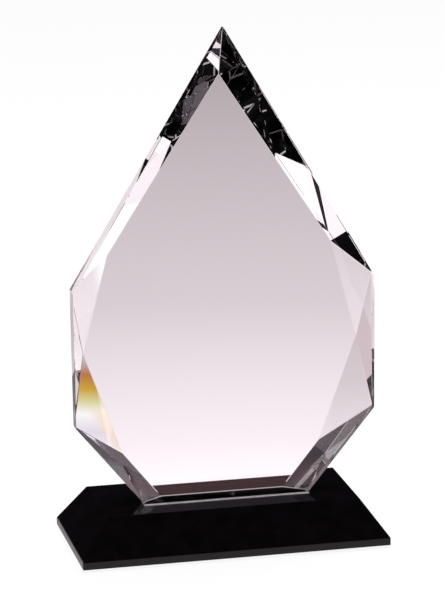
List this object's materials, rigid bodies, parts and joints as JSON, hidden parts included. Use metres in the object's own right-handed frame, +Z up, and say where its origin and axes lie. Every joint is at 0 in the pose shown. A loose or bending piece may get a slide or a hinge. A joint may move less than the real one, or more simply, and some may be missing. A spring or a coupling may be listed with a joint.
{
  "type": "crystal award",
  "caption": "Clear faceted arrowhead-shaped crystal blade bonded upright on a low bevelled black crystal base with bumper feet.",
  "frame": {"origin": "centre of the bounding box at the plane the feet stand on", "axes": "+Z up, +X along the width of the base, the flat polished front of the blade faces -Y"},
  "size_m": [0.127, 0.06, 0.2136],
  "materials": {
    "optical_crystal": "cut and polished clear optical crystal",
    "black_crystal": "cut and polished opaque black crystal",
    "uv_adhesive": "clear cured adhesive film",
    "bumper_rubber": "matt moulded bumper"
  },
  "bodies": {
    "root": {"crystal_blade": "optical_crystal", "black_base": "black_crystal", "bond_film": "uv_adhesive", "bumper_foot_front_left": "bumper_rubber", "bumper_foot_front_right": "bumper_rubber", "bumper_foot_rear_left": "bumper_rubber", "bumper_foot_rear_right": "bumper_rubber"}
  },
  "joints": []
}
